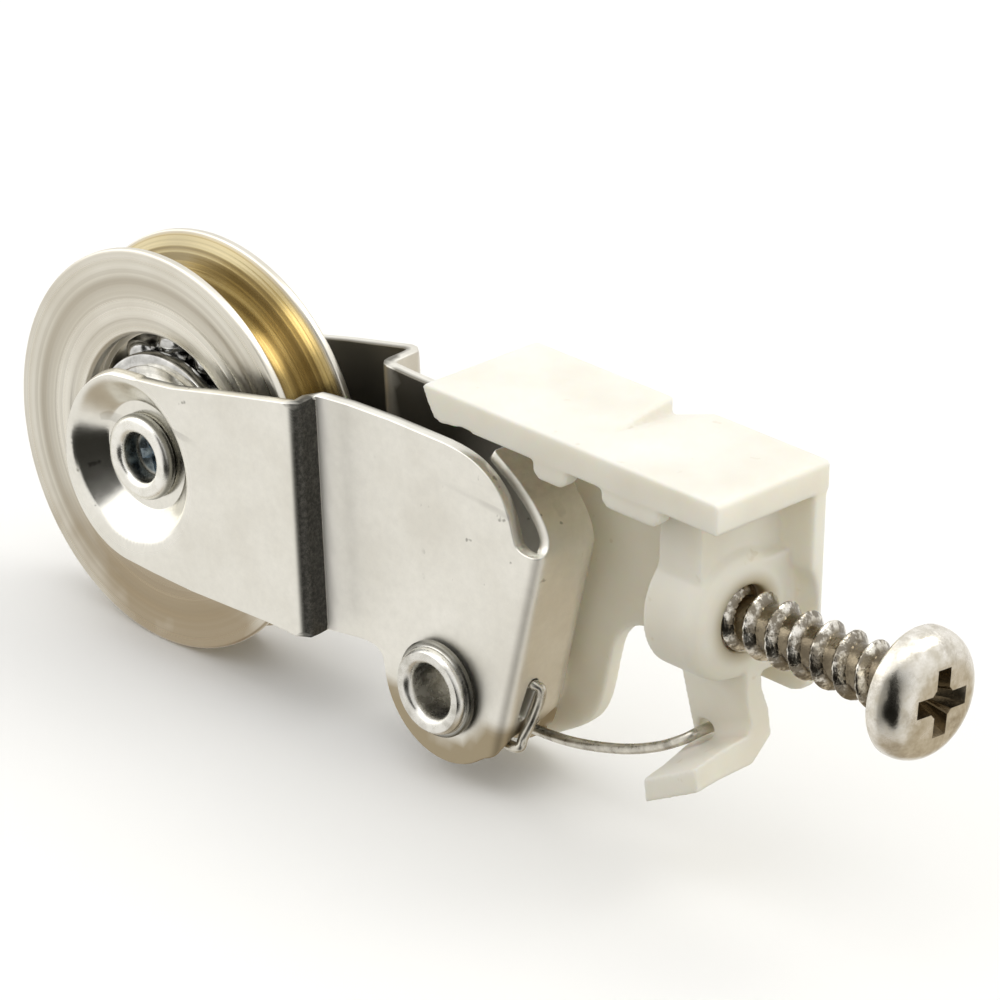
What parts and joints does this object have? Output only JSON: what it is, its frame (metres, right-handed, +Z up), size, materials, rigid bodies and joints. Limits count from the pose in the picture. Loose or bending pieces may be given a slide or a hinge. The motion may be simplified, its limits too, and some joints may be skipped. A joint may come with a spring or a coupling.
{
  "type": "sliding door roller",
  "caption": "Adjustable sliding door roller: grooved ball-bearing wheel in a swinging steel channel, nylon housing, return spring and height screw.",
  "frame": {"origin": "on the housing's flat top face, above the pivot, in the middle of its width", "axes": "+X along the adjusting screw towards its head, +Y across the roller towards the housing's side wall, +Z up out of the top face"},
  "size_m": [0.0918, 0.0134, 0.0321],
  "materials": {
    "nylon": "moulded nylon, natural",
    "zinc_sheet": "zinc plated sheet, satin",
    "yellow_zinc": "turned steel, yellow chromate",
    "bearing_steel": "polished steel",
    "zinc_rivet": "zinc plated, bright rim",
    "spring_wire": "drawn wire",
    "nickel_screw": "nickel plated"
  },
  "bodies": {
    "housing": {"nylon_housing": "nylon", "torsion_spring": "spring_wire"},
    "frame": {"swing_frame": "zinc_sheet", "axle_rivet": "zinc_rivet", "pivot_rivet": "zinc_rivet", "near_race_cone": "bearing_steel", "far_race_cone": "bearing_steel"},
    "roller": {"wheel": "yellow_zinc"},
    "ball_train": {"ball_01": "bearing_steel", "ball_02": "bearing_steel", "ball_03": "bearing_steel", "ball_04": "bearing_steel", "ball_05": "bearing_steel", "ball_06": "bearing_steel", "ball_07": "bearing_steel", "ball_08": "bearing_steel", "ball_09": "bearing_steel", "ball_10": "bearing_steel", "ball_11": "bearing_steel", "ball_12": "bearing_steel"},
    "screw": {"adjusting_screw": "nickel_screw"}
  },
  "joints": [
    {"name": "screw_advance", "type": "slide", "parent": "housing", "child": "screw", "axis": [-1, 0, 0], "range_m": [0, 0.015]},
    {"name": "frame_swing", "type": "hinge", "parent": "housing", "child": "frame", "pos_m": [-0.00625, 0, -0.0245], "axis": [0, -1, 0], "range_deg": [0, 10.5], "deforming": ["torsion_spring"]},
    {"name": "wheel_spin", "type": "hinge", "parent": "frame", "child": "roller", "pos_m": [-0.038, 0, -0.0162], "axis": [0, 1, 0], "continuous": true},
    {"name": "ball_orbit", "type": "hinge", "parent": "frame", "child": "ball_train", "pos_m": [-0.038, 0, -0.0162], "axis": [0, 1, 0], "continuous": true}
  ],
  "couplings": [
    {"joint": "frame_swing", "follows": "screw_advance", "rad_per_m": 12.2},
    {"joint": "ball_orbit", "follows": "wheel_spin", "ratio": 0.6039}
  ]
}
